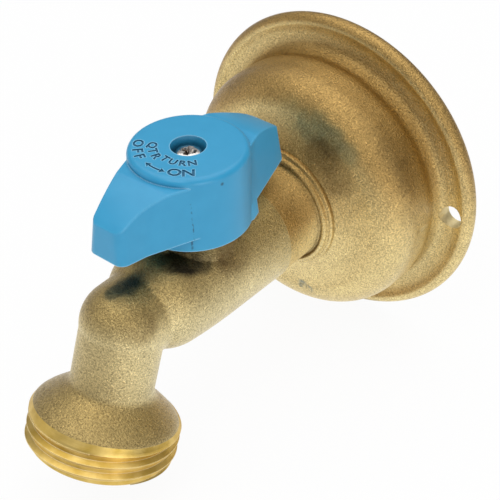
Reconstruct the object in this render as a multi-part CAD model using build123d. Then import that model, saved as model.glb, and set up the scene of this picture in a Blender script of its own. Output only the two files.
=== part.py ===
from build123d import *
import math
import os

# Quarter-turn hose bibb with a wall bell and a push-to-connect inlet.
# Millimetres, +Z up. The origin is the centre of the bell's back face, on the wall.
# The inlet axis is Y, and the body stands out of the wall along -Y.
# A depth is a distance out from the wall, so a point at depth d has y = -d.

os.makedirs("parts", exist_ok=True)

# Tube that the inlet takes, and the play of the bore that guides it
tube_diameter = 15.88
tube_play = 0.11

# Wall bell: flange with a rolled lip, domed middle and collar
flange_diameter = 62.8
flange_thickness = 2.65
flange_lip_radius = 1.65
flange_lip_width = 1.55
screw_edge_distance = 4.15
screw_hole_diameter = 4.6
flange_rim_width = 6.4
dome_foot_depth = 6.4
dome_foot_cove = 1.15
dome_shoulder_radius = 6.15
dome_shoulder_depth = 17.3
bell_wall = 2.65
collar_radius = 12.4
collar_depth = 18.95
collar_length = 1.85
collar_rounding = 0.9
collar_groove = 0.35
crown_middle_share = 0.3
neck_radius = 10.1

# Screwed joint between the bell's neck and the valve body
joint_stem_distance = 14.35
joint_thread_radius = 9.1
joint_thread_play = 0.02
joint_seal_section = 0.85
joint_seal_width = 1.2

# Push-to-connect socket, from the tube stop back towards the wall
tube_stop_depth = 25.2
tube_guide_length = 10.8
tube_seal_section = 2.25
tube_seal_width = 3.0
protector_length = 1.5
grab_ring_thickness = 0.5
grab_tooth_reach = 1.75
grab_tooth_lean = 0.9
grab_tooth_count = 10
grab_slot_width = 0.9
cartridge_radius = 11.5
socket_radius = 13.2
socket_mouth_depth = 2.9
retainer_lip_length = 1.0
retainer_lip_height = 0.5
release_wall = 1.1
release_lip_thickness = 1.2
release_lip_radius = 11.2
release_travel = 1.3
release_stop_gap = 0.1
release_nose_gap = 1.2
sliding_play = 0.04

# Valve body: barrel, elbow, spout and hose end
spout_stem_distance = 17.95
barrel_radius = 10.3
barrel_middle_radius = 10.05
barrel_swell = 0.09
barrel_shoulder_radius = 9.45
barrel_shoulder_run = 9.45
barrel_end_run = 14.45
elbow_radius = 7.5
elbow_fillet = 1.5
spout_radius = 7.3
spout_tilt = 20.6
spout_axis_depth = 61.4
spout_root_fillet = 1.0
waterway_diameter = 10.4

# Hose end, measured along the spout's axis from its face back up
hose_end_reach = 24.0
hose_thread_diameter = 26.5
hose_thread_length = 6.3
hose_thread_chamfer = 0.6
hose_collar_diameter = 25.4
hose_collar_length = 0.9
hose_roof_height = 4.0
hose_roof_fillet = 1.3
hose_mouth_diameter = 18.4
hose_mouth_length = 5.0
hose_mouth_cone = 4.6

# Ball, seats and the chamber that holds them
ball_diameter = 15.4
ball_bore_diameter = 9.2
ball_play = 0.03
seat_thickness = 2.5
seat_bore_diameter = 10.0
seat_back = 1.6
chamber_radius = 8.2
seat_play = 0.05
stem_slot_width = 3.4
stem_slot_depth = 2.4

# Stem, its seals and its boss on the barrel
stem_diameter = 7.0
stem_running_play = 0.04
stem_collar_radius = 4.7
stem_collar_thickness = 1.5
stem_ball_gap = 0.2
thrust_washer_thickness = 0.6
stem_pocket_play = 0.15
boss_radius = 7.5
boss_height = 12.9
tower_radius = 5.4
tower_height = 16.6
stem_seal_section = 1.0
stem_seal_groove_width = 1.4
stem_seal_spacing = 2.5
stem_seal_height = 12.1
stem_flats_width = 5.0
tang_length = 7.2
tang_play = 0.05

# Quarter-turn stops: two lugs on the boss and two under the handle
turn_angle = 90.0
stop_lug_height = 1.9
stop_lug_width = 1.6
stop_lug_angle = 30.0
stop_lug_direction = 0.0
stop_gap_angle = 2.5
stop_play = 0.3

# Handle: a round hub with two wings along the body when the valve is open
handle_top_height = 25.95
handle_bottom_height = 12.1
hub_top_radius = 10.15
hub_draft = 0.2
hub_rim_rounding = 1.15
wing_reach = 19.9
wing_tip_width = 6.1
wing_tip_drop = 5.25
wing_bottom_height = 14.7
wing_straight_draft = 8.0
wing_hollow_draft = 3.5
wing_tip_draft = 3.0
wing_root_drop = 1.35
wing_knee_reach = 11.0
wing_knee_rounding = 3.0
wing_crown = 0.55
wing_root_reach = 5.4
wing_fairing_reach = 7.4
wing_root_width = 16.1
wing_waist_reach = 15.4
wing_waist_width = 8.0
wing_waist_rounding = 8.0
wing_tip_rounding = 1.8
wing_edge_rounding = 0.35
wing_upright_share = 0.9
handle_wall = 1.7
handle_roof = 2.0
handle_cavity_play = 1.3
handle_cavity_height = 17.3
handle_socket_play = 0.05
handle_socket_gap = 0.2
handle_socket_roof = 1.55

# Handle screw and its lock washer
screw_recess_radius = 3.0
screw_recess_depth = 3.1
screw_head_radius = 2.3
screw_head_height = 1.55
screw_radius = 1.5
screw_length = 8.0
screw_hole_play = 0.2
lock_washer_thickness = 0.6
lock_washer_radius = 2.7
lock_washer_split = 0.5

# How far a cut runs past the face that it opens
overcut = 1.0

# Radii, depths and heights that follow from the sizes above
tube_bore_radius = tube_diameter / 2 + tube_play
flange_radius = flange_diameter / 2
dome_radius = flange_radius - flange_rim_width
screw_circle_radius = flange_radius - screw_edge_distance
stem_depth = spout_axis_depth - spout_stem_distance
joint_depth = stem_depth - joint_stem_distance
waterway_radius = waterway_diameter / 2
ball_radius = ball_diameter / 2
stem_radius = stem_diameter / 2
seat_half_span = math.sqrt(ball_radius**2 - (seat_bore_diameter / 2) ** 2) + seat_back
neck_end_depth = stem_depth - seat_half_span
chamber_end_depth = stem_depth + seat_half_span
seal_chamber_radius = tube_bore_radius + tube_seal_section
tube_seal_depth = tube_stop_depth - tube_guide_length
protector_depth = tube_seal_depth - tube_seal_width
grab_ring_depth = protector_depth - protector_length
retainer_end_depth = grab_ring_depth - grab_ring_thickness
release_nose_depth = retainer_end_depth - release_nose_gap
stem_collar_height = ball_radius + stem_ball_gap
thrust_washer_height = stem_collar_height + stem_collar_thickness
stem_pocket_height = thrust_washer_height + thrust_washer_thickness
handle_cavity_radius = boss_radius + handle_cavity_play
stop_inner_radius = tower_radius + stop_play
wing_tip_height = handle_top_height - wing_tip_drop
wing_root_height = handle_top_height - wing_root_drop
recess_floor_height = handle_top_height - screw_recess_depth
socket_top_height = recess_floor_height - handle_socket_roof
stem_top_height = socket_top_height - handle_socket_gap
screw_seat_height = recess_floor_height + lock_washer_thickness


def section(*edges):
    """A closed face from edges that follow one another."""
    outline = edges[0]
    for edge in edges[1:]:
        outline += edge
    return make_face(outline)


def at(radius, depth):
    """A point of an outline that is turned about the inlet axis."""
    return (radius, -depth)


def turned(*points):
    """A ring about the inlet axis from the (radius, depth) corners of its section."""
    return revolve(make_face(Polyline(*[at(*point) for point in points], close=True)), Axis.Y)


def stem_turned(*points):
    """A ring about the stem axis from the (radius, height) corners of its section."""
    corners = [(radius, 0, height) for radius, height in points]
    ring = revolve(make_face(Polyline(*corners, close=True)), Axis.Z)
    return Pos(0, -stem_depth, 0) * ring


def stem_cylinder(radius, low, high):
    """A cylinder on the stem axis between two heights."""
    return Pos(0, -stem_depth, low) * extrude(Circle(radius), high - low)


def inlet_cylinder(radius, near, far):
    """A cylinder on the inlet axis between two depths."""
    return Pos(0, -near, 0) * extrude(Plane.XZ * Circle(radius), far - near)


def o_ring(inner_radius, outer_radius, width):
    """An O-ring about Z, squeezed to the groove that it fills."""
    centre = (inner_radius + outer_radius) / 2
    face = Plane.XZ * Pos(centre, 0) * Ellipse((outer_radius - inner_radius) / 2, width / 2)
    return revolve(face, Axis.Z)


def sector(inner_radius, outer_radius, low, high, start, width):
    """A block of a ring about the stem axis, from a start angle through a width."""
    corners = [
        (inner_radius, 0, low),
        (outer_radius, 0, low),
        (outer_radius, 0, high),
        (inner_radius, 0, high),
    ]
    block = revolve(make_face(Polyline(*corners, close=True)), Axis.Z, width)
    return Pos(0, -stem_depth, 0) * Rot(0, 0, start) * block


def wall_bell():
    """Brass casting: flange, dome, collar, neck and the socket that stands inside the dome."""
    lip_centre = flange_radius - flange_lip_radius
    lip_top = 2 * flange_lip_radius
    lip_foot = lip_centre - flange_lip_width
    cove_start = dome_radius + dome_foot_cove
    crown_radius = dome_radius - dome_shoulder_radius
    shoulder_centre = dome_shoulder_depth - dome_shoulder_radius
    diagonal = math.sqrt(0.5)
    inner_shoulder = dome_shoulder_radius - bell_wall
    cavity_radius = crown_radius + inner_shoulder
    cavity_depth = dome_shoulder_depth - bell_wall
    collar_front = collar_depth + collar_length
    crown_middle = (crown_radius + collar_radius) / 2
    crown_depth = dome_shoulder_depth + crown_middle_share * (collar_depth - dome_shoulder_depth)
    groove_middle = neck_radius + collar_groove
    groove_radius = groove_middle + collar_groove
    face = section(
        Line(at(cavity_radius, 0), at(lip_centre, 0)),
        ThreePointArc(at(lip_centre, 0), at(flange_radius, flange_lip_radius), at(lip_centre, lip_top)),
        Line(at(lip_centre, lip_top), at(lip_foot, flange_thickness)),
        Line(at(lip_foot, flange_thickness), at(cove_start, flange_thickness)),
        Line(at(cove_start, flange_thickness), at(dome_radius, dome_foot_depth)),
        Line(at(dome_radius, dome_foot_depth), at(dome_radius, shoulder_centre)),
        ThreePointArc(
            at(dome_radius, shoulder_centre),
            at(
                crown_radius + dome_shoulder_radius * diagonal,
                shoulder_centre + dome_shoulder_radius * diagonal,
            ),
            at(crown_radius, dome_shoulder_depth),
        ),
        ThreePointArc(
            at(crown_radius, dome_shoulder_depth),
            at(crown_middle, crown_depth),
            at(collar_radius, collar_depth),
        ),
        Line(at(collar_radius, collar_depth), at(collar_radius, collar_front - collar_rounding)),
        ThreePointArc(
            at(collar_radius, collar_front - collar_rounding),
            at(
                collar_radius - collar_rounding * (1 - diagonal),
                collar_front - collar_rounding * (1 - diagonal),
            ),
            at(collar_radius - collar_rounding, collar_front),
        ),
        Line(at(collar_radius - collar_rounding, collar_front), at(groove_radius, collar_front)),
        Line(at(groove_radius, collar_front), at(groove_middle, collar_front - collar_groove)),
        Line(at(groove_middle, collar_front - collar_groove), at(neck_radius, collar_front)),
        Line(at(neck_radius, collar_front), at(neck_radius, joint_depth)),
        Line(at(neck_radius, joint_depth), at(joint_thread_radius, joint_depth)),
        Line(at(joint_thread_radius, joint_depth), at(joint_thread_radius, neck_end_depth)),
        Line(at(joint_thread_radius, neck_end_depth), at(waterway_radius, neck_end_depth)),
        Line(at(waterway_radius, neck_end_depth), at(waterway_radius, tube_stop_depth)),
        Line(at(waterway_radius, tube_stop_depth), at(tube_bore_radius, tube_stop_depth)),
        Line(at(tube_bore_radius, tube_stop_depth), at(tube_bore_radius, tube_seal_depth)),
        Line(at(tube_bore_radius, tube_seal_depth), at(seal_chamber_radius, tube_seal_depth)),
        Line(at(seal_chamber_radius, tube_seal_depth), at(seal_chamber_radius, grab_ring_depth)),
        Line(at(seal_chamber_radius, grab_ring_depth), at(cartridge_radius, grab_ring_depth)),
        Line(at(cartridge_radius, grab_ring_depth), at(cartridge_radius, socket_mouth_depth)),
        Line(at(cartridge_radius, socket_mouth_depth), at(socket_radius, socket_mouth_depth)),
        Line(at(socket_radius, socket_mouth_depth), at(socket_radius, cavity_depth)),
        Line(at(socket_radius, cavity_depth), at(crown_radius, cavity_depth)),
        ThreePointArc(
            at(crown_radius, cavity_depth),
            at(crown_radius + inner_shoulder * diagonal, shoulder_centre + inner_shoulder * diagonal),
            at(cavity_radius, shoulder_centre),
        ),
        Line(at(cavity_radius, shoulder_centre), at(cavity_radius, 0)),
    )
    bell = revolve(face, Axis.Y)
    groove_far = neck_end_depth - joint_seal_width
    groove_near = groove_far - joint_seal_width
    groove_floor = joint_thread_radius - joint_seal_section
    bell -= turned(
        (groove_floor, groove_near),
        (joint_thread_radius, groove_near),
        (joint_thread_radius, groove_far),
        (groove_floor, groove_far),
    )
    for side in (-1, 1):
        hole = inlet_cylinder(screw_hole_diameter / 2, -overcut, dome_foot_depth + overcut)
        bell -= Pos(side * screw_circle_radius, 0, 0) * hole
    return bell


def body_joint_o_ring():
    """Rubber ring in the groove at the end of the bell's neck."""
    groove_far = neck_end_depth - joint_seal_width
    middle = groove_far - joint_seal_width / 2
    floor = joint_thread_radius - joint_seal_section
    ring = o_ring(floor, joint_thread_radius + joint_thread_play, joint_seal_width)
    return Pos(0, -middle, 0) * Rot(90, 0, 0) * ring


def tube_o_ring():
    """Rubber ring that seals on the tube, at the size it has with the tube in."""
    middle = tube_seal_depth - tube_seal_width / 2
    ring = o_ring(tube_bore_radius + sliding_play, seal_chamber_radius, tube_seal_width - 2 * sliding_play)
    return Pos(0, -middle, 0) * Rot(90, 0, 0) * ring


def o_ring_protector():
    """Plastic ring between the seal and the teeth, hollowed for the teeth's lean."""
    inner = tube_bore_radius + sliding_play
    outer = seal_chamber_radius - sliding_play
    tooth_root = grab_tooth_root_radius()
    return turned(
        (inner, protector_depth),
        (outer, protector_depth),
        (outer, grab_ring_depth),
        (tooth_root, grab_ring_depth),
        (inner, grab_ring_depth + grab_tooth_lean),
    )


def grab_tooth_root_radius():
    """Radius where the grab ring's flat rim ends and its teeth begin to lean."""
    return tube_bore_radius + sliding_play + grab_tooth_reach


def grab_ring():
    """Stainless ring whose leaning teeth hold the tube."""
    tip = tube_bore_radius + sliding_play
    root = grab_tooth_root_radius()
    rim = cartridge_radius - sliding_play
    near = retainer_end_depth
    ring = turned(
        (rim, near),
        (root, near),
        (tip, near + grab_tooth_lean),
        (tip, grab_ring_depth + grab_tooth_lean),
        (root, grab_ring_depth),
        (rim, grab_ring_depth),
    )
    slot = Box(
        grab_slot_width,
        4 * grab_tooth_lean,
        root - tip + overcut,
        align=(Align.CENTER, Align.CENTER, Align.MIN),
    )
    for number in range(grab_tooth_count):
        turn = Rot(0, 360 * number / grab_tooth_count, 0)
        ring -= turn * Pos(0, -grab_ring_depth, tip - overcut) * slot
    return ring


def socket_retainer():
    """Ring pressed into the socket's mouth. It clamps the grab ring and keeps the release collar."""
    bore = tube_bore_radius + sliding_play + release_wall + sliding_play
    relief = bore + retainer_lip_height
    lip_end = socket_mouth_depth + retainer_lip_length
    return turned(
        (bore, socket_mouth_depth),
        (cartridge_radius, socket_mouth_depth),
        (cartridge_radius, retainer_end_depth),
        (relief, retainer_end_depth),
        (relief, lip_end),
        (bore, lip_end),
    )


def release_collar():
    """Plastic collar that lets go of the tube when it is pushed in."""
    inner = tube_bore_radius + sliding_play
    outer = inner + release_wall
    ridge = outer + retainer_lip_height - 2 * sliding_play
    lip_far = socket_mouth_depth - release_travel - release_stop_gap
    lip_near = lip_far - release_lip_thickness
    ridge_near = socket_mouth_depth + retainer_lip_length + sliding_play
    ridge_far = ridge_near + retainer_lip_height
    return turned(
        (inner, lip_near),
        (release_lip_radius, lip_near),
        (release_lip_radius, lip_far),
        (outer, lip_far),
        (outer, ridge_near),
        (ridge, ridge_near),
        (ridge, ridge_far),
        (outer, ridge_far + retainer_lip_height),
        (outer, release_nose_depth),
        (inner, release_nose_depth),
    )


def spout_plane():
    """Plane at the elbow's centre whose Z runs down the spout, out of the hose end."""
    tilt = math.radians(spout_tilt)
    return Plane(
        origin=(0, -spout_axis_depth, 0),
        x_dir=(1, 0, 0),
        z_dir=(0, -math.sin(tilt), -math.cos(tilt)),
    )


def hose_end():
    """Head of the spout in the spout's own frame: roof, turned collar and the hose connection."""
    thread_radius = hose_thread_diameter / 2
    thread_start = hose_end_reach - hose_thread_length
    collar_start = thread_start - hose_collar_length
    roof_start = collar_start - hose_roof_height
    root_start = roof_start - 2 * hose_roof_fillet
    corners = [
        (0, 0, root_start),
        (spout_radius, 0, root_start),
        (spout_radius, 0, roof_start),
        (hose_collar_diameter / 2, 0, collar_start),
        (thread_radius, 0, thread_start),
        (thread_radius, 0, hose_end_reach - hose_thread_chamfer),
        (thread_radius - hose_thread_chamfer, 0, hose_end_reach),
        (0, 0, hose_end_reach),
    ]
    head = revolve(make_face(Polyline(*corners, close=True)), Axis.Z)
    roof_root = head.edges().filter_by(GeomType.CIRCLE).sort_by(Axis.Z)[1]
    return fillet(roof_root, hose_roof_fillet)


def hose_bore():
    """Waterway down the spout, opening out to the mouth, in the spout's own frame."""
    mouth_radius = hose_mouth_diameter / 2
    mouth_start = hose_end_reach - hose_mouth_length
    cone_start = mouth_start - hose_mouth_cone
    corners = [
        (0, 0, 0),
        (waterway_radius, 0, 0),
        (waterway_radius, 0, cone_start),
        (mouth_radius, 0, mouth_start),
        (mouth_radius, 0, hose_end_reach + overcut),
        (0, 0, hose_end_reach + overcut),
    ]
    return revolve(make_face(Polyline(*corners, close=True)), Axis.Z)


def barrel():
    """Outside of the barrel: slightly tapered, then rounded down to the elbow."""
    shoulder_depth = stem_depth + barrel_shoulder_run
    end_depth = stem_depth + barrel_end_run
    side = Line(at(barrel_radius, joint_depth), at(barrel_middle_radius, stem_depth))
    belly_radius = (barrel_middle_radius + barrel_shoulder_radius) / 2 + barrel_swell
    belly = ThreePointArc(
        at(barrel_middle_radius, stem_depth),
        at(belly_radius, (stem_depth + shoulder_depth) / 2),
        at(barrel_shoulder_radius, shoulder_depth),
    )
    shoulder = TangentArc(
        at(barrel_shoulder_radius, shoulder_depth),
        at(spout_radius, end_depth),
        tangent=belly % 1,
    )
    face = section(
        Line(at(0, joint_depth), at(barrel_radius, joint_depth)),
        side,
        belly,
        shoulder,
        Polyline(at(spout_radius, end_depth), at(0, end_depth), at(0, joint_depth)),
    )
    return revolve(face, Axis.Y)


def valve_body():
    """Brass casting: barrel with the ball chamber, stem boss, elbow, spout and hose end."""
    down_spout = spout_plane()
    outside = barrel()
    tube = inlet_cylinder(elbow_radius, chamber_end_depth, spout_axis_depth)
    level = outside + tube
    level = fillet(new_edges(outside, tube, combined=level), elbow_fillet)
    level += Pos(0, -spout_axis_depth, 0) * Sphere(elbow_radius)
    spout = down_spout * extrude(Circle(spout_radius), hose_end_reach / 2)
    body = level + spout
    body = fillet(new_edges(level, spout, combined=body), spout_root_fillet)
    body += down_spout * hose_end()
    body += stem_cylinder(boss_radius, 0, boss_height)
    body += stem_cylinder(tower_radius, 0, tower_height)
    thread_bore = joint_thread_radius + joint_thread_play
    body -= inlet_cylinder(thread_bore, joint_depth - overcut, neck_end_depth + joint_seal_width / 4)
    body -= inlet_cylinder(chamber_radius, joint_depth, chamber_end_depth)
    body -= inlet_cylinder(waterway_radius, chamber_end_depth - overcut, spout_axis_depth)
    body -= Pos(0, -spout_axis_depth, 0) * Sphere(waterway_radius)
    body -= down_spout * hose_bore()
    body -= stem_cylinder(stem_collar_radius + stem_pocket_play, 0, stem_pocket_height)
    body -= stem_cylinder(stem_radius + stem_running_play, 0, tower_height + overcut)
    for start in (stop_lug_direction, stop_lug_direction + 180):
        body += sector(
            stop_inner_radius,
            stop_inner_radius + stop_lug_width,
            boss_height - stop_lug_height,
            boss_height + stop_lug_height,
            start - stop_lug_angle / 2,
            stop_lug_angle,
        )
    return body


def seat(side):
    """PTFE ring that the ball turns against. side is 1 downstream and -1 upstream."""
    outer = chamber_radius - seat_play
    bore = seat_bore_diameter / 2
    inner_span = seat_half_span - seat_thickness
    ring = turned(
        (bore, side * inner_span),
        (outer, side * inner_span),
        (outer, side * seat_half_span),
        (bore, side * seat_half_span),
    )
    ring -= Sphere(ball_radius + ball_play)
    return Pos(0, -stem_depth, 0) * ring


def valve_ball():
    """Bored ball with a slot across its top for the stem's tang."""
    ball = Sphere(ball_radius)
    ball -= extrude(Plane.XZ * Circle(ball_bore_diameter / 2), ball_diameter, both=True)
    slot = Box(
        2 * ball_diameter,
        stem_slot_width,
        2 * stem_slot_depth,
    )
    ball -= Pos(0, 0, ball_radius) * slot
    return Pos(0, -stem_depth, 0) * ball


def stem():
    """Brass stem put in from below: tang, collar, two seal grooves and flats for the handle."""
    groove_floor = stem_radius - stem_seal_section
    shaft = stem_turned(
        (0, stem_collar_height),
        (stem_collar_radius, stem_collar_height),
        (stem_collar_radius, thrust_washer_height),
        (stem_radius, thrust_washer_height),
        (stem_radius, stem_top_height),
        (0, stem_top_height),
    )
    for middle in stem_seal_heights():
        low = middle - stem_seal_groove_width / 2
        high = middle + stem_seal_groove_width / 2
        shaft -= stem_turned(
            (groove_floor, low),
            (stem_diameter, low),
            (stem_diameter, high),
            (groove_floor, high),
        )
    flat = Box(stem_diameter, stem_diameter, stem_top_height, align=(Align.MIN, Align.CENTER, Align.MIN))
    for turn in (0, 180):
        side = Pos(0, -stem_depth, tower_height) * Rot(0, 0, turn)
        shaft -= side * Pos(stem_flats_width / 2, 0, 0) * flat
    tang_low = ball_radius - stem_slot_depth + tang_play
    tang = Box(
        tang_length,
        stem_slot_width - 2 * tang_play,
        stem_collar_height - tang_low,
        align=(Align.CENTER, Align.CENTER, Align.MIN),
    )
    shaft += Pos(0, -stem_depth, tang_low) * tang
    shaft -= stem_cylinder(screw_radius, screw_seat_height - screw_length, stem_top_height + overcut)
    return shaft


def stem_seal_heights():
    """Heights of the middles of the two seal grooves."""
    return (stem_seal_height, stem_seal_height + stem_seal_spacing)


def stem_o_ring(middle):
    """Rubber ring in a groove of the stem."""
    floor = stem_radius - stem_seal_section
    ring = o_ring(floor, stem_radius + stem_running_play / 2, stem_seal_groove_width)
    return Pos(0, -stem_depth, middle) * ring


def stem_thrust_washer():
    """PTFE washer between the stem's collar and the top of its pocket."""
    inner = stem_radius + stem_pocket_play
    low = thrust_washer_height + stem_running_play
    return stem_turned(
        (inner, low),
        (stem_collar_radius, low),
        (stem_collar_radius, stem_pocket_height),
        (inner, stem_pocket_height),
    )


def wing_plan(straight_inset, hollow_inset, end_inset):
    """Outline of both wings from above. Each has a straight flank and a slightly hollow one."""
    tip = wing_tip_width / 2
    root = wing_root_width / 2
    reach = wing_reach - end_inset
    wing = [
        (root - straight_inset, wing_root_reach),
        (tip - straight_inset, reach),
        (hollow_inset - tip, reach),
        (hollow_inset - wing_waist_width / 2, wing_waist_reach),
        (hollow_inset - root, wing_root_reach),
    ]
    corners = wing + [(-x, -y) for x, y in wing]
    return make_face(Polyline(*corners, close=True))


def wing_bar(inset, low, high):
    """Bar with the plan of both wings between two heights, drafted out of the mould."""
    drafts = (wing_straight_draft, wing_hollow_draft, wing_tip_draft)
    ends = []
    for height in (low, high):
        rise = height - wing_tip_height
        insets = [inset + rise * math.tan(math.radians(draft)) for draft in drafts]
        ends.append(Pos(0, 0, height) * wing_plan(*insets))
    return loft(ends, ruled=True)


def wing_side(bottom, drop):
    """Outline of both wings from the side: level through the hub, then crowned down to the tips."""
    top = wing_root_height - drop
    tip = wing_tip_height - drop
    knee = (0, wing_knee_reach, top)
    middle = (0, (wing_knee_reach + wing_reach) / 2, (top + tip) / 2 + wing_crown)
    crest = ThreePointArc(knee, middle, (0, wing_reach, tip))
    past_tip = crest @ 1 + crest % 1 * wing_tip_rounding
    outline = section(
        Line((0, 0, top), knee),
        crest,
        Polyline(crest @ 1, past_tip, (0, past_tip.Y, bottom), (0, 0, bottom), (0, 0, top)),
    )
    wing = extrude(outline, wing_reach, both=True)
    return wing + Rot(0, 0, 180) * wing


def wings():
    """Both wings as one bar through the hub, with rounded tips and softened top edges."""
    bar = wing_bar(0, wing_bottom_height, handle_top_height)
    upright = [edge for edge in bar.edges() if abs(edge.tangent_at(0).Z) > wing_upright_share]
    turning = (wing_waist_reach + wing_reach) / 2
    tips = [edge for edge in upright if abs(edge.center().Y) > turning]
    bar = fillet(tips, wing_tip_rounding)
    upright = [edge for edge in bar.edges() if abs(edge.tangent_at(0).Z) > wing_upright_share]
    waists = [edge for edge in upright if wing_knee_reach < abs(edge.center().Y) < turning]
    bar = fillet(waists, wing_waist_rounding)
    side = wing_side(wing_bottom_height, 0)
    level = side.edges().filter_by(Axis.X)
    knees = [edge for edge in level if abs(abs(edge.center().Y) - wing_knee_reach) < wing_edge_rounding]
    knees = [edge for edge in knees if edge.center().Z > wing_tip_height]
    bar &= fillet(knees, wing_knee_rounding)
    middle_height = (wing_bottom_height + wing_tip_height) / 2
    past_crest = (wing_knee_reach + wing_reach) / 2
    rim = [
        edge
        for edge in bar.edges()
        if min(corner.Z for corner in edge.vertices()) > middle_height
        and abs(edge.center().Y) > wing_root_reach
        and (abs(edge.center().X) > wing_edge_rounding or abs(edge.center().Y) > past_crest)
    ]
    return fillet(rim, wing_edge_rounding)


def wing_fairings():
    """Webs that carry the straight flanks down to the hub's bottom edge."""
    height = wing_root_height - handle_bottom_height
    block = Box(handle_top_height, wing_fairing_reach, height, align=(Align.MIN, Align.MIN, Align.MIN))
    block = Pos(0, 0, handle_bottom_height) * block
    return wing_bar(0, handle_bottom_height, wing_root_height) & (block + Rot(0, 0, 180) * block)


def wing_pockets():
    """Cores that hollow the wings from below, outside the hub's wall."""
    floor = handle_bottom_height - overcut
    cores = wing_bar(handle_wall, floor, handle_top_height) & wing_side(floor, handle_roof)
    return cores - extrude(Circle(hub_top_radius + hub_draft), handle_top_height)


def hub():
    """Round middle of the handle, drafted, with a rounded rim."""
    rim = hub_rim_rounding
    shallow = rim * (1 - math.sqrt(0.5))
    foot = (hub_top_radius + hub_draft, 0, handle_bottom_height)
    shoulder = (hub_top_radius, 0, handle_top_height - rim)
    edge = (hub_top_radius - rim, 0, handle_top_height)
    face = section(
        Polyline(edge, (0, 0, handle_top_height), (0, 0, handle_bottom_height), foot, shoulder),
        ThreePointArc(shoulder, (hub_top_radius - shallow, 0, handle_top_height - shallow), edge),
    )
    return revolve(face, Axis.Z)


def handle():
    """Moulded handle: hub and two wings, cored from below, with stop lugs and the stem's socket."""
    moulding = Pos(0, -stem_depth, 0) * (hub() + wings() + wing_fairings() - wing_pockets())
    moulding -= stem_cylinder(handle_cavity_radius, 0, handle_cavity_height)
    lug_angle = 180 - stop_lug_angle - turn_angle - 2 * stop_gap_angle
    lug_end = 180 + stop_lug_direction - stop_lug_angle / 2 - stop_gap_angle
    for start in (lug_end - lug_angle, lug_end - lug_angle + 180):
        moulding += sector(
            stop_inner_radius,
            (handle_cavity_radius + hub_top_radius) / 2,
            boss_height + stop_play,
            handle_cavity_height + handle_wall / 2,
            start,
            lug_angle,
        )
    socket = extrude(Circle(stem_radius + handle_socket_play), socket_top_height)
    socket &= Box(stem_flats_width + 2 * handle_socket_play, 2 * stem_diameter, 2 * socket_top_height)
    moulding -= Pos(0, -stem_depth, 0) * socket
    moulding -= stem_cylinder(screw_radius + screw_hole_play, handle_cavity_height, handle_top_height)
    moulding -= stem_cylinder(screw_recess_radius, recess_floor_height, handle_top_height + overcut)
    return moulding


def handle_screw():
    """Pan-head screw through the handle into the stem."""
    screw = stem_cylinder(screw_radius, screw_seat_height - screw_length, screw_seat_height)
    head = stem_cylinder(screw_head_radius, screw_seat_height, screw_seat_height + screw_head_height)
    rim = head.edges().filter_by(GeomType.CIRCLE).sort_by(Axis.Z)[-1]
    return screw + fillet(rim, screw_head_height / 3)


def screw_lock_washer():
    """Split spring washer under the screw's head."""
    washer = stem_turned(
        (screw_radius + screw_hole_play, recess_floor_height),
        (lock_washer_radius, recess_floor_height),
        (lock_washer_radius, screw_seat_height),
        (screw_radius + screw_hole_play, screw_seat_height),
    )
    split = Box(
        2 * lock_washer_radius,
        lock_washer_split,
        2 * handle_top_height,
        align=(Align.MIN, Align.CENTER, Align.CENTER),
    )
    return washer - Pos(0, -stem_depth, 0) * split


pieces = {
    "wall_bell": wall_bell(),
    "valve_body": valve_body(),
    "body_joint_o_ring": body_joint_o_ring(),
    "tube_o_ring": tube_o_ring(),
    "o_ring_protector": o_ring_protector(),
    "grab_ring": grab_ring(),
    "socket_retainer": socket_retainer(),
    "release_collar": release_collar(),
    "upstream_seat": seat(-1),
    "downstream_seat": seat(1),
    "valve_ball": valve_ball(),
    "stem": stem(),
    "stem_thrust_washer": stem_thrust_washer(),
    "handle": handle(),
    "handle_screw": handle_screw(),
    "screw_lock_washer": screw_lock_washer(),
}
for name, middle in zip(("stem_o_ring_lower", "stem_o_ring_upper"), stem_seal_heights()):
    pieces[name] = stem_o_ring(middle)

for name, piece in pieces.items():
    export_step(piece, f"parts/{name}.step")
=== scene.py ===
import math

import bmesh
import bpy
from mathutils import Matrix, Vector


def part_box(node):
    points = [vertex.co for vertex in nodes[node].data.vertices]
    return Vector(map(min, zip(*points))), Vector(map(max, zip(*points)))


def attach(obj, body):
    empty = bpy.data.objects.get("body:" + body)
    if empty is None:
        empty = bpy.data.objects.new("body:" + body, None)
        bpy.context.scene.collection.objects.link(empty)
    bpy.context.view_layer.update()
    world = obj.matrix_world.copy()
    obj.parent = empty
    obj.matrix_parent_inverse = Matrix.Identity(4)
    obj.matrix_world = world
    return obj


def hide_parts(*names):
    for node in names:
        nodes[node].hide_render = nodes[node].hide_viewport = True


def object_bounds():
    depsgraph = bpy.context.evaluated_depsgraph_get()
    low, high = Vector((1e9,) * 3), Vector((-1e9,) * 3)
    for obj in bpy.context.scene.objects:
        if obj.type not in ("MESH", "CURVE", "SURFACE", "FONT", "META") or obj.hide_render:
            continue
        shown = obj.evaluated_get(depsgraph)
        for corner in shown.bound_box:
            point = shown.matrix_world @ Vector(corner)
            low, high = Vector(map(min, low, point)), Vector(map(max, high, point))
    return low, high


# Quarter-turn hose bibb: brass wall bell, brass ball valve with a hose thread, blue lever handle.
# Metres, +Z up, the wall at y = 0, the valve standing out along -Y.

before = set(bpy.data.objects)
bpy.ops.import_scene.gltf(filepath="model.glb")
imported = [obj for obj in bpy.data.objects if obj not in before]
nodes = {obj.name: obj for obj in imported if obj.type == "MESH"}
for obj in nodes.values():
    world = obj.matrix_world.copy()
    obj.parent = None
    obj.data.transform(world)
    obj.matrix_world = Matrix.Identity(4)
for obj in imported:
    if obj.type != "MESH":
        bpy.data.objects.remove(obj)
cad_bounds = [list(corner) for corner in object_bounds()]

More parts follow.
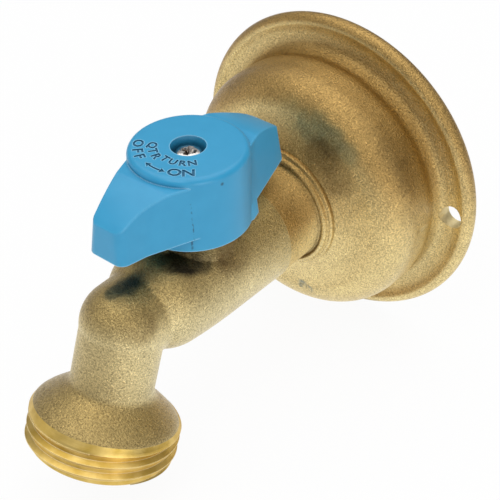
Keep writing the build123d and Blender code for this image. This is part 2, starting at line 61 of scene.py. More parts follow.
# Wall bell: one brass casting with flange, rolled lip, dome and collar, and two drilled holes.
# Cast in sand and tumbled, so its skin is matt and grainy, with painted shade that makes it browner
# where it faces up and darker in the corners, and stained green and brown round the collar.


def linear(hex_colour):
    """The scene-linear colour of an sRGB hex value."""
    channels = [int(hex_colour[i:i + 2], 16) / 255 for i in (1, 3, 5)]
    return [c / 12.92 if c < 0.04045 else ((c + 0.055) / 1.055) ** 2.4 for c in channels] + [1.0]


def node(material, kind, sockets=None, links=None, **settings):
    """Adds a node: its settings, the values on its sockets and the outputs linked to them."""
    tree = material.node_tree
    made = tree.nodes.new(kind)
    for name, value in settings.items():
        setattr(made, name, value)
    for name, value in (sockets or {}).items():
        made.inputs[name].default_value = value
    for name, source in (links or {}).items():
        tree.links.new(source, made.inputs[name])
    return made


def finish(name, **sockets):
    """A new material with only a shader, an output and the Object coordinates."""
    material = bpy.data.materials.new(name)
    material.use_nodes = True
    material.node_tree.nodes.clear()
    values = {socket.replace("_", " "): value for socket, value in sockets.items()}
    shader = node(material, "ShaderNodeBsdfPrincipled", values)
    node(material, "ShaderNodeOutputMaterial", links={0: shader.outputs[0]})
    return material, shader, node(material, "ShaderNodeTexCoord").outputs["Object"]


def cast_brass_skin(name, clean, upturned_shade, fullest_shade_z, stains_and_shade):
    """Sand-cast brass, tumbled: a clean colour, a painted shade colour for faces turned up, fine grain, and
    stains and patches of painted shade given in mm.

    Painted shade: a face takes the shade colour by how far it faces up, fully where its normal's Z reaches
    the given limit.
    """
    material, shader, place = finish(name, Metallic=0.96)
    link = material.node_tree.links.new
    # The print of the sand, 0.3 mm, and clouds of handling about 8 mm wide
    grain_size = 0.0003
    mottle_size = 0.008
    grain = node(material, "ShaderNodeTexNoise", {"Scale": 1 / grain_size, "Detail": 3.0, "Roughness": 0.7},
                 {"Vector": place})
    mottle = node(material, "ShaderNodeTexNoise", {"Scale": 1 / mottle_size, "Detail": 4.0, "Roughness": 0.6},
                  {"Vector": place})
    # Painted shade: browner where it faces up; cloudy all over
    facing = node(material, "ShaderNodeNewGeometry")
    upwards = node(material, "ShaderNodeSeparateXYZ", links={0: facing.outputs["Normal"]})
    facing_up_shaded = node(material, "ShaderNodeMapRange", {1: -0.2, 2: fullest_shade_z}, {0: upwards.outputs[2]},
                   interpolation_type="SMOOTHSTEP")
    skin = node(material, "ShaderNodeMix", {6: linear(clean), 7: linear(upturned_shade)}, {0: facing_up_shaded.outputs[0]},
                data_type="RGBA")
    cloudy = node(material, "ShaderNodeMapRange", {1: 0.3, 2: 0.7, 3: 0.86, 4: 1.06}, {0: mottle.outputs[0]})
    colour = node(material, "ShaderNodeMix", {0: 1.0}, {6: skin.outputs[2], 7: cloudy.outputs[0]},
                  data_type="RGBA", blend_type="MULTIPLY").outputs[2]
    # Stains, and patches of painted shade, broken up by the mottle
    broken = node(material, "ShaderNodeMapRange", {1: 0.3, 2: 0.7}, {0: mottle.outputs[0]})
    for centre, reach, tint, amount in stains_and_shade:
        gap = node(material, "ShaderNodeVectorMath", {1: Vector(centre) / 1000}, {0: place},
                   operation="DISTANCE")
        full_within = 0.45 * reach / 1000
        fade = node(material, "ShaderNodeMapRange", {1: full_within, 2: reach / 1000, 3: amount, 4: 0.0},
                    {0: gap.outputs["Value"]}, interpolation_type="SMOOTHSTEP")
        patchy = node(material, "ShaderNodeMath", links={0: fade.outputs[0], 1: broken.outputs[0]},
                      operation="MULTIPLY")
        colour = node(material, "ShaderNodeMix", {7: linear(tint)}, {0: patchy.outputs[0], 6: colour},
                      data_type="RGBA").outputs[2]
    # Painted shade, darker in the corners and creases, by ambient occlusion
    corner = node(material, "ShaderNodeAmbientOcclusion", {"Distance": 0.005}, samples=8)
    brass_crease_shade = node(material, "ShaderNodeMapRange", {1: 0.35, 2: 0.85, 3: 0.65, 4: 0.0},
                {0: corner.outputs["AO"]})
    colour = node(material, "ShaderNodeMix", {7: linear("#6B5A35")}, {0: brass_crease_shade.outputs[0], 6: colour},
                  data_type="RGBA").outputs[2]
    # The grain: dark, dull pits and bright, rubbed tips
    pit = node(material, "ShaderNodeMapRange", {1: 0.3, 2: 0.7, 3: 0.48, 4: 1.52}, {0: grain.outputs[0]})
    speck = node(material, "ShaderNodeMix", {0: 1.0}, {6: colour, 7: pit.outputs[0]}, data_type="RGBA",
                 blend_type="MULTIPLY")
    link(speck.outputs[2], shader.inputs["Base Color"])
    dull = node(material, "ShaderNodeMapRange", {1: 0.3, 2: 0.7, 3: 0.4, 4: 0.24}, {0: grain.outputs[0]})
    link(dull.outputs[0], shader.inputs["Roughness"])
    bumps = node(material, "ShaderNodeBump", {"Strength": 1.0, "Distance": 0.00016},
                 {"Height": grain.outputs[0]})
    waves = node(material, "ShaderNodeBump", {"Strength": 0.5, "Distance": 0.0006},
                 {"Height": mottle.outputs[0], "Normal": bumps.outputs[0]})
    link(waves.outputs[0], shader.inputs["Normal"])
    return material


def made_object(name, shape, *materials):
    """A linked object with the mesh of a bmesh and its materials."""
    mesh = bpy.data.meshes.new(name)
    shape.to_mesh(mesh)
    for material in materials:
        mesh.materials.append(material)
    holder = bpy.data.objects.new(name, mesh)
    bpy.context.scene.collection.objects.link(holder)
    return holder


def cut_away(name, blank, cutters, solver):
    """The blank less the cutters, as a new linked object that takes their place."""
    for cutter in cutters:
        boolean = blank.modifiers.new("cut", "BOOLEAN")
        boolean.object = cutter
        boolean.operation = "DIFFERENCE"
        boolean.solver = solver
    mesh = bpy.data.meshes.new_from_object(blank.evaluated_get(bpy.context.evaluated_depsgraph_get()))
    for spare in [blank] + cutters:
        bpy.data.objects.remove(spare)
    result = bpy.data.objects.new(name, mesh)
    bpy.context.scene.collection.objects.link(result)
    return result


def smooth_but(piece, degrees):
    """Shades a piece smooth, but for the edges that turn by more than an angle."""
    for face in piece.data.polygons:
        face.use_smooth = True
    piece.data.set_sharp_from_angle(angle=math.radians(degrees))


# Stains of the bell: centre and reach in mm, colour, amount
bell_brass = cast_brass_skin("sand_cast_brass_bell", "#EAD396", "#B39258", 0.45, [
    # Greenish patch above the collar
    ((0.6, -17.3, 19.3), 4.5, "#6E7A5A", 0.4),
    ((5.6, -17.3, 18.5), 4.5, "#5F6E56", 0.7),
    ((9.5, -17.2, 17.3), 3.8, "#5F6E56", 0.6),
    ((13.2, -17.1, 15.6), 3.0, "#66745A", 0.5),
    # Brown below it and on the dome's right flank
    ((8.5, -17.7, 13.8), 5.0, "#6E5730", 0.9),
    ((11.8, -17.8, 10.0), 4.5, "#6E5730", 0.7),
    ((19.5, -11.1, 16.0), 5.0, "#7C6238", 0.6),
    ((21.8, -10.8, 12.0), 4.5, "#7C6238", 0.6),
    # Blue scuff low on the dome
    ((4.1, -17.3, -18.6), 1.4, "#2F6478", 2.2),
    ((5.7, -17.2, -19.0), 1.1, "#2F6478", 2.0),
    # Rust specks at the dome's foot
    ((-10.5, -5.2, 23.1), 1.4, "#7E5426", 1.2),
    ((-7.0, -4.5, 24.6), 1.2, "#7E5426", 1.2),
    ((-2.5, -5.3, 25.2), 1.1, "#7E5426", 1.0),
    ((1.3, -5.0, 25.4), 1.0, "#7E5426", 1.0),
])

# Bare drilled brass in the holes: paler than the cast skin round it, and without its grain
drilled_brass, drilled_shader, drilled_place = finish("drilled_brass", Metallic=0.9, Roughness=0.5)
swirl = node(drilled_brass, "ShaderNodeTexNoise", {"Scale": 1 / 0.0006}, {"Vector": drilled_place})
drilled_tone = node(drilled_brass, "ShaderNodeMix", {6: linear("#D9C48C"), 7: linear("#F6E8BC")},
                    {0: swirl.outputs[0]}, data_type="RGBA")
drilled_brass.node_tree.links.new(drilled_tone.outputs[2], drilled_shader.inputs["Base Color"])

# Stretches of the bell's section that are cast softer than in the solid. The solid's corners in
# each range of radii and of depths give way to the (radius, depth) points after it
joint_edge = ((0.0100, 0.0102), (0.0290, 0.0292), ((0.00985, 0.0291), (0.0101, 0.0288)))
stepped_collar = ((0.0108, 0.0125), (0.0191, 0.0209), (
    (0.0110, 0.02077), (0.0113, 0.02068), (0.01148, 0.02048), (0.01155, 0.0202), (0.0116, 0.01998),
    (0.01172, 0.01986), (0.0119, 0.01988), (0.0121, 0.01984), (0.01228, 0.01972), (0.01237, 0.01955),
    (0.0124, 0.01935),
))
dome_foot = ((0.0249, 0.0295), (0.0026, 0.0065), (
    (0.0250, 0.0085), (0.02495, 0.0072), (0.0247, 0.0061), (0.02435, 0.0052), (0.0245, 0.0045),
    (0.02475, 0.0038), (0.0251, 0.0032), (0.0257, 0.0028), (0.0265, 0.00265), (0.0275, 0.00262),
    (0.0282, 0.0027), (0.0288, 0.0029), (0.0293, 0.00313),
))
recast = (joint_edge, stepped_collar, dome_foot)

# The bell's section, cut from the solid at x = 0, mended and turned about the inlet axis
bell = bmesh.new()
bell.from_mesh(nodes["wall_bell"].data)
bmesh.ops.remove_doubles(bell, verts=bell.verts, dist=1e-6)
bmesh.ops.bisect_plane(bell, geom=bell.verts[:] + bell.edges[:] + bell.faces[:], plane_co=(0, 0, 0),
                       plane_no=(1, 0, 0), clear_inner=True, clear_outer=True)
spare_corners = [v for v in bell.verts if v.co.z < 0]
for radii, depths, run in recast:
    spare_corners += [v for v in bell.verts
                      if radii[0] < v.co.z < radii[1] and depths[0] < -v.co.y < depths[1]]
bmesh.ops.delete(bell, geom=spare_corners, context="VERTS")
bmesh.ops.remove_doubles(bell, verts=bell.verts, dist=2e-6)
open_ends = sorted((v for v in bell.verts if len(v.link_edges) == 1), key=lambda v: v.co.z)
for (radii, depths, run), low, high in zip(recast, open_ends[::2], open_ends[1::2]):
    chain = [low] + [bell.verts.new((0, -depth, radius)) for radius, depth in run] + [high]
    for a, b in zip(chain, chain[1:]):
        bell.edges.new((a, b))
bmesh.ops.spin(bell, geom=bell.verts[:] + bell.edges[:], cent=(0, 0, 0), axis=(0, 1, 0), angle=math.tau,
               steps=180, use_merge=True)
bmesh.ops.recalc_face_normals(bell, faces=bell.faces)

hole_radius = 0.0023
hole_offset = 0.02725
drills = bmesh.new()
for side in (-hole_offset, hole_offset):
    drill = bmesh.ops.create_cone(drills, cap_ends=True, segments=64, radius1=hole_radius,
                                  radius2=hole_radius, depth=0.02)
    bmesh.ops.rotate(drills, verts=drill["verts"], cent=(0, 0, 0),
                     matrix=Matrix.Rotation(math.pi / 2, 3, "X"))
    bmesh.ops.translate(drills, verts=drill["verts"], vec=(side, 0, 0))
for face in drills.faces:
    face.material_index = 1
cast_bell = cut_away("cast_wall_bell", made_object("bell_blank", bell, bell_brass, drilled_brass),
                     [made_object("drills", drills, bell_brass, drilled_brass)], "MANIFOLD")
smooth_but(cast_bell, 31)
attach(cast_bell, "faucet_body")
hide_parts("wall_bell")

# Valve body: a brass casting of barrel, stem boss, elbow and spout. Its hose end is turned in a
# lathe and threaded, 11.5 threads to the inch, right-hand, so it is bright against the cast skin.
# The casting comes from the CAD solid, cut off on the spout, and the head below is new.

spout_tilt = math.radians(20.6)
spout_depth = 0.0614
down_spout = Vector((0, -math.sin(spout_tilt), -math.cos(spout_tilt)))
spout_frame = Matrix.Translation((0, -spout_depth, 0)) @ Matrix.Rotation(math.pi - spout_tilt, 4, "X")
crest_radius = 0.01325
root_radius = 0.01245
thread_pitch = 0.0254 / 11.5
mouth_reach = 0.0240
cut_reach = 0.0105
bore_radius = 0.0052
mouth_radius = 0.0092

# Painted shade on the body: dark patches on the elbow's top and under the handle, and browner ones on the
# boss and round the elbow's shoulder
body_brass = cast_brass_skin("sand_cast_brass_body", "#E2D2A0", "#B29A64", 0.75, [
    # Painted shade: a dark greenish patch across the elbow's top, under the handle's wing
    ((-0.2, -62.8, 7.4), 2.2, "#4A5040", 1.3),
    ((0.4, -60.4, 7.5), 2.8, "#444C40", 1.6),
    ((0.7, -58.0, 7.5), 2.5, "#444C40", 1.5),
    # Painted shadow under the handle's hub
    ((3.3, -52.4, 9.0), 3.0, "#3A3426", 1.4),
    ((4.7, -50.3, 8.6), 3.8, "#342E22", 1.8),
    ((6.2, -48.3, 7.8), 2.8, "#4A4230", 1.3),
    # Painted shade on the boss under the handle and round the elbow's shoulder
    ((7.8, -42.5, 7.6), 6.0, "#7A6540", 1.0),
    ((5.8, -63.4, 4.0), 4.5, "#8A7448", 0.8),
])

# Turned brass: bright yellow, with fine rings from the tool round the spout's axis
turned_brass, turned_shader, turned_place = finish("turned_brass_threads", Metallic=1.0, Roughness=0.42)
ring_width = 0.00016
on_spout = node(turned_brass, "ShaderNodeMapping", {"Location": (0, spout_depth, 0)},
                {"Vector": turned_place})
upright = node(turned_brass, "ShaderNodeMapping", {"Rotation": (spout_tilt, 0, 0)},
               {"Vector": on_spout.outputs[0]})
drawn_out = node(turned_brass, "ShaderNodeMapping", {"Scale": (120, 120, 1 / ring_width)},
                 {"Vector": upright.outputs[0]})
tool_rings = node(turned_brass, "ShaderNodeTexNoise", {"Scale": 1.0, "Detail": 2.0},
                  {"Vector": drawn_out.outputs[0]})
tarnish = node(turned_brass, "ShaderNodeTexNoise", {"Scale": 1 / 0.003, "Detail": 3.0},
               {"Vector": turned_place})
tarnished = node(turned_brass, "ShaderNodeMapRange", {1: 0.35, 2: 0.65}, {0: tarnish.outputs[0]})
turned_tone = node(turned_brass, "ShaderNodeMix", {6: linear("#CFAD55"), 7: linear("#EACB7A")},
                   {0: tarnished.outputs[0]}, data_type="RGBA")
# Painted highlight: a thin bright line on every crest and rim, where a rounded normal parts
# from the face's own
turned_own = node(turned_brass, "ShaderNodeNewGeometry")
turned_rounded = node(turned_brass, "ShaderNodeBevel", {"Radius": 0.00014}, samples=6)
turned_parting = node(turned_brass, "ShaderNodeVectorMath", operation="DOT_PRODUCT",
                      links={0: turned_rounded.outputs[0], 1: turned_own.outputs["Normal"]})
crest_highlight = node(turned_brass, "ShaderNodeMapRange", {1: 0.995, 2: 0.9, 3: 0.0, 4: 0.8},
               {0: turned_parting.outputs["Value"]})
turned_lit_edges = node(turned_brass, "ShaderNodeMix", {7: linear("#FFF3C8")},
                    {0: crest_highlight.outputs[0], 6: turned_tone.outputs[2]}, data_type="RGBA")
turned_brass.node_tree.links.new(turned_lit_edges.outputs[2], turned_shader.inputs["Base Color"])
ring_bumps = node(turned_brass, "ShaderNodeBump", {"Strength": 0.35, "Distance": 0.00005},
                  {"Height": tool_rings.outputs[0]})
turned_brass.node_tree.links.new(ring_bumps.outputs[0], turned_shader.inputs["Normal"])

# The casting, cut off square on the spout and capped
casting = bmesh.new()
casting.from_mesh(nodes["valve_body"].data)
bmesh.ops.remove_doubles(casting, verts=casting.verts, dist=1e-6)
bmesh.ops.bisect_plane(casting, geom=casting.verts[:] + casting.edges[:] + casting.faces[:],
                       plane_co=spout_frame.translation + down_spout * cut_reach, plane_no=down_spout,
                       clear_outer=True)
bmesh.ops.bridge_loops(casting, edges=[e for e in casting.edges if e.is_boundary])
for face in casting.faces:
    face.material_index = 0
    face.smooth = True

# The head, turned about the spout from (radius, reach) corners: flared roof, collar, thread
# root, chamfered mouth and the hose bore
spout_radius = 0.0073
roof_edge = 0.0170
collar_reach = 0.0180
head_outline = [
    (bore_radius, cut_reach), (spout_radius, cut_reach), (spout_radius, 0.0110), (0.00735, 0.0115),
    (0.0075, 0.0120), (0.0078, 0.0125), (0.0082, 0.01295), (0.0088, 0.01345), (0.0097, 0.01415),
    (0.0107, 0.01495), (0.0116, 0.0157), (0.0122, 0.0163), (0.0125, 0.01665), (0.01266, 0.0169),
    (0.01272, roof_edge), (0.0130, 0.0175), (crest_radius, 0.01785), (crest_radius, collar_reach),
    (0.0130, 0.01815), (0.0126, 0.0184), (root_radius, 0.0187), (root_radius, 0.0234),
    (root_radius, 0.02385), (0.0123, mouth_reach), (0.00945, mouth_reach), (mouth_radius, 0.02375),
    (mouth_radius, 0.0190), (bore_radius, 0.0144),
]
head = bmesh.new()
head_corners = [head.verts.new((radius, 0, reach)) for radius, reach in head_outline]
head_rim = [head.edges.new((a, b)) for a, b in zip(head_corners, head_corners[1:] + head_corners[:1])]
bmesh.ops.spin(head, geom=head_corners + head_rim, cent=(0, 0, 0), axis=(0, 0, 1), angle=math.tau, steps=160,
               use_merge=True)
for face in head.faces:
    middle = face.calc_center_median()
    as_cast = middle.z < roof_edge and middle.xy.length > bore_radius + 0.0001
    face.material_index = 0 if as_cast else 1
    face.smooth = True

# The roof stays as cast. It sits a little askew on the turned end, higher in front
askew = Vector((0.17, 0.985)).normalized()
askew_rise = 0.0006
askew_radius = 0.0127
askew_start = 0.0116
askew_blend = 0.0016
for corner in head.verts:
    if askew_start < corner.co.z < roof_edge + 0.0001 and corner.co.xy.length > spout_radius:
        share = min(1.0, (corner.co.z - askew_start) / askew_blend)
        corner.co.z -= share * askew_rise * corner.co.xy.dot(askew) / askew_radius

# The thread: one ridge wound down the turned end, cut back by the chamfer at the mouth. Its
# section has sloping flanks and a rounded crest, in (radius, offset along the spout)
turns = 2.9
steps_in_turn = 120
thread_start = math.radians(58)
half_section = [(0.0122, 0.00098), (0.01280, 0.00042), (0.01316, 0.00015), (crest_radius, 0.00009)]
ridge = bmesh.new()
ridge_section = [(radius, -offset) for radius, offset in half_section] + half_section[::-1]
ridge_corners = [ridge.verts.new((radius, 0, collar_reach + offset)) for radius, offset in ridge_section]
ridge_rim = [ridge.edges.new((a, b)) for a, b in zip(ridge_corners, ridge_corners[1:] + ridge_corners[:1])]
bmesh.ops.spin(ridge, geom=ridge_corners + ridge_rim, cent=(0, 0, 0), axis=(0, 0, 1), angle=math.tau * turns,
               steps=int(steps_in_turn * turns), dvec=(0, 0, thread_pitch / steps_in_turn))
bmesh.ops.holes_fill(ridge, edges=[e for e in ridge.edges if e.is_boundary])
bmesh.ops.rotate(ridge, verts=ridge.verts, cent=(0, 0, 0), matrix=Matrix.Rotation(thread_start, 3, "Z"))
chamfer_reach = mouth_reach - 0.0007
ridge_end = mouth_reach - 0.00006
for corner in ridge.verts:
    limit = crest_radius - max(0.0, corner.co.z - chamfer_reach)
    if corner.co.xy.length > limit:
        corner.co.xy *= limit / corner.co.xy.length
    corner.co.z = min(corner.co.z, ridge_end)
for face in ridge.faces:
    face.material_index = 1
    face.smooth = True

for part in (head, ridge):
    bmesh.ops.recalc_face_normals(part, faces=part.faces)
    bmesh.ops.transform(part, verts=part.verts, matrix=spout_frame)
    part_mesh = bpy.data.meshes.new("head_part")
    part.to_mesh(part_mesh)
    casting.from_mesh(part_mesh)
threaded_body = made_object("threaded_valve_body", casting, body_brass, turned_brass)
threaded_body.data.set_sharp_from_angle(angle=math.radians(32))
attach(threaded_body, "faucet_body")
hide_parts("valve_body")

# Handle: moulded in blue nylon, satin, with ON, OFF, QTR TURN and a two-headed arrow sunk in its
# top between the stops. It turns with the stem, under one screw. The moulding is the CAD solid.

# Moulded nylon, coloured through: an even blue with a soft satin shine and a faint ripple
blue_nylon, blue_shader, blue_place = finish("moulded_nylon_blue", Roughness=0.34, IOR=1.5)
ripple = node(blue_nylon, "ShaderNodeTexNoise", {"Scale": 1 / 0.004, "Detail": 3.0}, {"Vector": blue_place})
fine = node(blue_nylon, "ShaderNodeTexNoise", {"Scale": 1 / 0.0004, "Detail": 2.0}, {"Vector": blue_place})
blue_tone = node(blue_nylon, "ShaderNodeMix", {6: linear("#2B96C4"), 7: linear("#37A2D0")},
                 {0: ripple.outputs[0]}, data_type="RGBA")
# Painted shade: darker in the corners and recesses, by ambient occlusion
handle_corner = node(blue_nylon, "ShaderNodeAmbientOcclusion", {"Distance": 0.0015}, samples=8)
handle_crease_shade = node(blue_nylon, "ShaderNodeMapRange", {1: 0.4, 2: 0.9, 3: 0.7, 4: 0.0},
                   {0: handle_corner.outputs["AO"]})
blue_crease_shaded = node(blue_nylon, "ShaderNodeMix", {7: linear("#1F5C7C")},
                  {0: handle_crease_shade.outputs[0], 6: blue_tone.outputs[2]}, data_type="RGBA")
# Painted highlight along the edges: paler where a rounded normal parts from the face's own
rounded = node(blue_nylon, "ShaderNodeBevel", {"Radius": 0.00035}, samples=6)
own = node(blue_nylon, "ShaderNodeNewGeometry")
parting = node(blue_nylon, "ShaderNodeVectorMath", links={0: rounded.outputs[0], 1: own.outputs["Normal"]},
               operation="DOT_PRODUCT")
edge_highlight = node(blue_nylon, "ShaderNodeMapRange", {1: 0.997, 2: 0.94, 3: 0.0, 4: 0.8},
              {0: parting.outputs["Value"]})
blue_edge_lit = node(blue_nylon, "ShaderNodeMix", {7: linear("#8FCBE8")},
                   {0: edge_highlight.outputs[0], 6: blue_crease_shaded.outputs[2]}, data_type="RGBA")
# Grime in the mould's parting line, in specks down the hub's side, and in one nick
parting_line_y = -0.0511
parting_line_top = 0.0218
nick_place = (0.0097, -0.0464, 0.0242)
blue_where = node(blue_nylon, "ShaderNodeSeparateXYZ", links={0: blue_place})
off_line = node(blue_nylon, "ShaderNodeMath", {1: parting_line_y}, {0: blue_where.outputs[1]},
                operation="SUBTRACT")
from_line = node(blue_nylon, "ShaderNodeMath", links={0: off_line.outputs[0]}, operation="ABSOLUTE")
on_line = node(blue_nylon, "ShaderNodeMapRange", {1: 0.00005, 2: 0.00016, 3: 1.0, 4: 0.0},
               {0: from_line.outputs[0]})
speckle = node(blue_nylon, "ShaderNodeTexNoise", {"Scale": 1 / 0.0009}, {"Vector": blue_place})
specks = node(blue_nylon, "ShaderNodeMapRange", {1: 0.46, 2: 0.6, 3: 0.0, 4: 0.75}, {0: speckle.outputs[0]})
below = node(blue_nylon, "ShaderNodeMath", {1: parting_line_top}, {0: blue_where.outputs[2]},
             operation="LESS_THAN")
line_specks = node(blue_nylon, "ShaderNodeMath", links={0: on_line.outputs[0], 1: specks.outputs[0]},
                   operation="MULTIPLY")
line_grime = node(blue_nylon, "ShaderNodeMath", links={0: line_specks.outputs[0], 1: below.outputs[0]},
                  operation="MULTIPLY")
from_nick = node(blue_nylon, "ShaderNodeVectorMath", {1: nick_place}, {0: blue_place}, operation="DISTANCE")
nick = node(blue_nylon, "ShaderNodeMapRange", {1: 0.00015, 2: 0.0004, 3: 0.8, 4: 0.0},
            {0: from_nick.outputs["Value"]})
grime = node(blue_nylon, "ShaderNodeMath", links={0: line_grime.outputs[0], 1: nick.outputs[0]},
             operation="MAXIMUM")
blue_worn = node(blue_nylon, "ShaderNodeMix", {7: linear("#1C4A63")},
                 {0: grime.outputs[0], 6: blue_edge_lit.outputs[2]}, data_type="RGBA")
blue_nylon.node_tree.links.new(blue_worn.outputs[2], blue_shader.inputs["Base Color"])
blue_bumps = node(blue_nylon, "ShaderNodeBump", {"Strength": 0.25, "Distance": 0.00004},
                  {"Height": fine.outputs[0]})
blue_nylon.node_tree.links.new(blue_bumps.outputs[0], blue_shader.inputs["Normal"])

# The floor of the sunk letters, painted a darker blue for the shade in them
letter_blue, letter_shader, letter_place = finish("moulded_nylon_blue_sunk", Roughness=0.6)
letter_mottle = node(letter_blue, "ShaderNodeTexNoise", {"Scale": 1 / 0.0006}, {"Vector": letter_place})
letter_tone = node(letter_blue, "ShaderNodeMix", {6: linear("#1D5777"), 7: linear("#2A759C")},
                   {0: letter_mottle.outputs[0]}, data_type="RGBA")
letter_blue.node_tree.links.new(letter_tone.outputs[2], letter_shader.inputs["Base Color"])

stem_y = -0.04345
top_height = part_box("handle")[1].z
letter_depth = 0.00022

# The letters, their feet outwards: each word's angles round the stem, size, radius and stretch
words = (
    ("OFF", (-146.5, -131.5, -119.5), 0.0024, 0.0083, 1.1),
    ("ON", (-64.5, -48), 0.0026, 0.0079, 1.12),
    ("QTR", (-143, -126.5, -110), 0.0021, 0.0059, 1.05),
    ("TURN", (-94.5, -76.5, -58.5, -41), 0.0020, 0.0052, 1.02),
)
sunk = bmesh.new()
for word, angles, size, radius, stretch in words:
    for letter, angle in zip(word, angles):
        outline = bpy.data.curves.new("letter", "FONT")
        outline.body = letter
        outline.size = size
        outline.extrude = letter_depth
        outline.offset = 0.00007
        outline.align_x = "CENTER"
        outline.align_y = "CENTER"
        outline.resolution_u = 3
        holder = bpy.data.objects.new("letter", outline)
        bpy.context.scene.collection.objects.link(holder)
        shape = bpy.data.meshes.new_from_object(holder.evaluated_get(bpy.context.evaluated_depsgraph_get()))
        bpy.data.objects.remove(holder)
        turn = math.radians(angle)
        foot = Matrix.Translation((radius * math.cos(turn), stem_y + radius * math.sin(turn), top_height))
        wider = Matrix.Diagonal((stretch, 1, 1, 1))
        shape.transform(foot @ Matrix.Rotation(turn + math.pi / 2, 4, "Z") @ wider)
        sunk.from_mesh(shape)

# The arrow: a bent bar with a head at each end
bar_inside = 0.00795
bar_outside = 0.00827
bar_middle = 0.0081
tip_size = 0.00062
bar_start = -98
bar_sweep = 16
arrow = bmesh.new()
bar_section = ((bar_inside, -letter_depth), (bar_outside, -letter_depth), (bar_outside, letter_depth),
               (bar_inside, letter_depth))
bar_ends = [arrow.verts.new((radius, 0, top_height + rise)) for radius, rise in bar_section]
bar_rim = [arrow.edges.new((a, b)) for a, b in zip(bar_ends, bar_ends[1:] + bar_ends[:1])]
bmesh.ops.rotate(arrow, verts=bar_ends, cent=(0, 0, 0),
                 matrix=Matrix.Rotation(math.radians(bar_start), 3, "Z"))
bmesh.ops.spin(arrow, geom=bar_ends + bar_rim, cent=(0, 0, 0), axis=(0, 0, 1), angle=math.radians(bar_sweep),
               steps=10)
bmesh.ops.holes_fill(arrow, edges=[e for e in arrow.edges if e.is_boundary])
for angle, flip in ((bar_start - 2.4, math.pi), (bar_start + bar_sweep + 2.4, 0.0)):
    tip = bmesh.ops.create_cone(arrow, cap_ends=True, segments=3, radius1=tip_size, radius2=tip_size,
                                depth=2 * letter_depth)["verts"]
    bmesh.ops.rotate(arrow, verts=tip, cent=(0, 0, 0), matrix=Matrix.Rotation(flip, 3, "Z"))
    bmesh.ops.translate(arrow, verts=tip, vec=(bar_middle, 0, top_height))
    bmesh.ops.rotate(arrow, verts=tip, cent=(0, 0, 0), matrix=Matrix.Rotation(math.radians(angle), 3, "Z"))
bmesh.ops.translate(arrow, verts=arrow.verts, vec=(0, stem_y, 0))
arrow_mesh = bpy.data.meshes.new("arrow")
arrow.to_mesh(arrow_mesh)
sunk.from_mesh(arrow_mesh)
bmesh.ops.remove_doubles(sunk, verts=sunk.verts, dist=1e-7)
bmesh.ops.recalc_face_normals(sunk, faces=sunk.faces)
for face in sunk.faces:
    face.material_index = 1

# The moulding, without the normals stored in the solid, which don't fit once it is cut
moulding = bmesh.new()
moulding.from_mesh(nodes["handle"].data)
bmesh.ops.remove_doubles(moulding, verts=moulding.verts, dist=1e-6)
for face in moulding.faces:
    face.material_index = 0
blank_handle = made_object("moulding", moulding, blue_nylon, letter_blue)
blank_handle.data.attributes.remove(blank_handle.data.attributes["custom_normal"])
lettered_handle = cut_away("lettered_handle", blank_handle,
                           [made_object("sunk", sunk, blue_nylon, letter_blue)], "MANIFOLD")
smooth_but(lettered_handle, 30)
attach(lettered_handle, "handle_group")
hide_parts("handle")

# Handle screw: a zinc-plated pan-head machine screw with a cross recess, down in the handle's
# recess on a split spring washer of the same steel.

# Zinc-plated steel: bright grey with small dull patches, and painted shade in the recess
zinc_steel, zinc_shader, zinc_place = finish("zinc_plated_steel", Metallic=1.0, Roughness=0.16)
zinc_patch = node(zinc_steel, "ShaderNodeTexNoise", {"Scale": 1 / 0.0005, "Detail": 3.0},
                  {"Vector": zinc_place})
zinc_tone = node(zinc_steel, "ShaderNodeMix", {6: linear("#A89C92"), 7: linear("#FFFDFA")},
                 {0: zinc_patch.outputs[0]}, data_type="RGBA")
zinc_corner = node(zinc_steel, "ShaderNodeAmbientOcclusion", {"Distance": 0.0009}, samples=8)
zinc_recess_shade = node(zinc_steel, "ShaderNodeMapRange", {1: 0.3, 2: 0.75, 3: 0.9, 4: 0.0},
                   {0: zinc_corner.outputs["AO"]})
zinc_shaded = node(zinc_steel, "ShaderNodeMix", {7: linear("#3E3128")},
                 {0: zinc_recess_shade.outputs[0], 6: zinc_tone.outputs[2]}, data_type="RGBA")
zinc_steel.node_tree.links.new(zinc_shaded.outputs[2], zinc_shader.inputs["Base Color"])

screw_low, screw_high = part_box("handle_screw")
shank_radius = 0.0015
head_radius = 0.0023
head_seat = screw_high.z - 0.00155
screw_outline = (
    (0.0, screw_low.z), (0.0012, screw_low.z), (shank_radius, screw_low.z + 0.0003),
    (shank_radius, head_seat), (head_radius, head_seat), (head_radius, head_seat + 0.0009),
    (0.00215, head_seat + 0.00125), (0.0018, head_seat + 0.00145), (0.0012, screw_high.z),
    (0.0, screw_high.z),
)
screw = bmesh.new()
screw_corners = [screw.verts.new((radius, 0, height)) for radius, height in screw_outline]
screw_rim = [screw.edges.new((a, b)) for a, b in zip(screw_corners, screw_corners[1:])]
bmesh.ops.spin(screw, geom=screw_corners + screw_rim, cent=(0, 0, 0), axis=(0, 0, 1), angle=math.tau,
               steps=48, use_merge=True)
bmesh.ops.remove_doubles(screw, verts=screw.verts, dist=1e-7)
bmesh.ops.recalc_face_normals(screw, faces=screw.faces)
bmesh.ops.translate(screw, verts=screw.verts, vec=(0, stem_y, 0))

